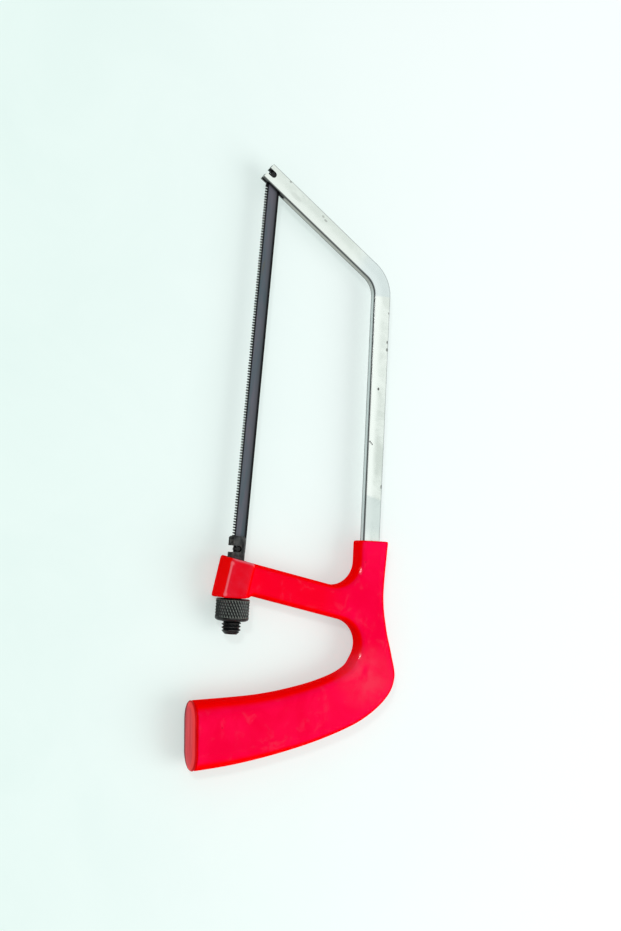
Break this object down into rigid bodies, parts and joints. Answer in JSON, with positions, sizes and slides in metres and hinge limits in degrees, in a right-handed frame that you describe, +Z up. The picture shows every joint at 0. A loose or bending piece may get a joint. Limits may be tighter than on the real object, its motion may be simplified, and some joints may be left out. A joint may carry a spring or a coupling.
{
  "type": "mini hacksaw",
  "caption": "Mini hacksaw: a bent flat-bar frame in a moulded pistol-grip handle, with a fine-toothed pinned blade drawn tight by a knurled nut on a sliding slotted rod.",
  "frame": {"origin": "under the middle of the saw's box, on the plane it lies on", "axes": "+X along the tension rod towards the tip of the frame, +Y towards the teeth, +Z up out of the plane of the blade"},
  "size_m": [0.2344, 0.0835, 0.016],
  "materials": {
    "handle": "glossy red moulding",
    "end_cap": "satin red moulding, paler than the handle",
    "frame_bar": "bright plated steel",
    "blade": "blue-grey satin steel",
    "blade_pins": "dark steel",
    "tension_rod": "black oxide",
    "knurled_nut": "black oxide, diamond knurl"
  },
  "bodies": {
    "frame": {"handle": "handle", "end_cap": "end_cap", "frame_bar": "frame_bar"},
    "nut": {"knurled_nut": "knurled_nut"},
    "rod": {"tension_rod": "tension_rod"},
    "blade": {"blade": "blade", "front_blade_pin": "blade_pins", "rear_blade_pin": "blade_pins"}
  },
  "joints": [
    {"name": "nut_turn", "type": "hinge", "parent": "frame", "child": "nut", "pos_m": [-0.05606, 0.02707, 0.008], "axis": [-1, 0, 0], "range_deg": [0, 1080]},
    {"name": "rod_slide", "type": "slide", "parent": "frame", "child": "rod", "axis": [1, 0, 0], "range_m": [0, 0.00382]},
    {"name": "blade_swing", "type": "hinge", "parent": "rod", "child": "blade", "pos_m": [-0.03291, 0.02707, 0.008], "axis": [0, 0, 1], "range_deg": [0, 2.14]}
  ],
  "couplings": [
    {"joint": "rod_slide", "follows": "nut_turn", "m_per_rad": 0.00020213},
    {"joint": "blade_swing", "follows": "nut_turn", "ratio": 0.0019741}
  ]
}
